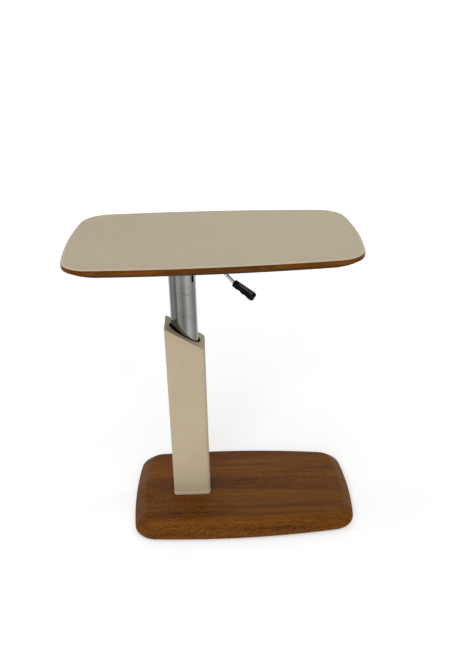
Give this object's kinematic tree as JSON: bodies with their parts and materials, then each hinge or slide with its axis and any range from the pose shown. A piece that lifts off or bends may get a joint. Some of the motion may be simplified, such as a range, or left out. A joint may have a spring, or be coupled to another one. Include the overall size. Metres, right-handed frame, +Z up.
{
  "type": "overbed table",
  "caption": "Overbed side table: leather-faced top cantilevered on a chromed tube that slides in a leather-clad column, wood base, gas-lift release lever.",
  "frame": {"origin": "on the floor, under the middle of the whole table's bounding box", "axes": "+Z up, +X along the table's length towards the free end of the top and the lever side, +Y towards the back; the front, where the lever's paddle shows, faces -Y"},
  "size_m": [0.7164, 0.423, 0.779],
  "materials": {
    "top_leather": "fine-grained greige leather, stitched along the border",
    "column_leather": "fine-grained beige leather, stitched along its hems",
    "edge_wood": "orange-brown stained hardwood, satin lacquer",
    "underside_wood": "dark brown veneer, satin",
    "base_wood": "walnut-brown straight-grained wood, satin lacquer",
    "board": "plain unfinished board",
    "black_board": "board stained black, seen inside the collar's hole",
    "chrome": "bright chromed tube with light scratches",
    "bright_steel": "bright drawn steel",
    "zinc_steel": "zinc-plated fasteners",
    "ballast_steel": "dull black steel plate",
    "black_steel": "black painted steel",
    "cast_aluminium": "cast, machined seats",
    "guide_plastic": "black low-friction plastic",
    "glide_plastic": "dark hard plastic",
    "grip_plastic": "black moulded plastic, fine ribs on the upper face"
  },
  "bodies": {
    "base": {"base_board": "base_wood", "ballast_plate": "ballast_steel", "ballast_screws": "zinc_steel", "glide_screws": "zinc_steel", "glide_front_left": "glide_plastic", "glide_front_middle": "glide_plastic", "glide_front_right": "glide_plastic", "glide_back_left": "glide_plastic", "glide_back_middle": "glide_plastic", "glide_back_right": "glide_plastic", "foot_plate": "ballast_steel", "foot_bolts": "zinc_steel", "batten_front": "board", "batten_back": "board", "casing_front": "board", "casing_back": "board", "casing_left": "board", "casing_right": "board", "collar_plate": "black_board", "collar_leather": "column_leather", "column_leather": "column_leather", "upper_guide": "guide_plastic", "lower_guide": "guide_plastic", "guide_screws": "zinc_steel", "spring_post": "black_steel", "gas_cylinder": "black_steel"},
    "lift": {"inner_tube": "chrome", "head_block": "cast_aluminium", "gas_rod": "bright_steel", "gas_piston": "guide_plastic", "head_screws": "zinc_steel", "mount_plate": "black_steel", "mount_screws": "zinc_steel", "lever_pivot_pin": "bright_steel", "tabletop_core": "board", "edge_lipping": "edge_wood", "underside_panel": "underside_wood", "top_leather": "top_leather"},
    "lever": {"lever_blade": "bright_steel", "lever_rod": "bright_steel", "lever_paddle": "grip_plastic"},
    "pin": {"release_pin": "bright_steel"}
  },
  "joints": [
    {"name": "height", "type": "slide", "parent": "base", "child": "lift", "axis": [0, 0, 1], "range_m": [-0.165, 0.06]},
    {"name": "lever_pull", "type": "hinge", "parent": "lift", "child": "lever", "pos_m": [-0.07528, -0.00636, 0.728], "axis": [-0.454, -0.891, 0], "range_deg": [0, 10], "stiffness_Nm_per_rad": 6},
    {"name": "pin_press", "type": "slide", "parent": "lift", "child": "pin", "axis": [0, 0, -1], "range_m": [0, 0.003]}
  ],
  "couplings": [
    {"joint": "pin_press", "follows": "lever_pull", "m_per_rad": 0.014}
  ]
}
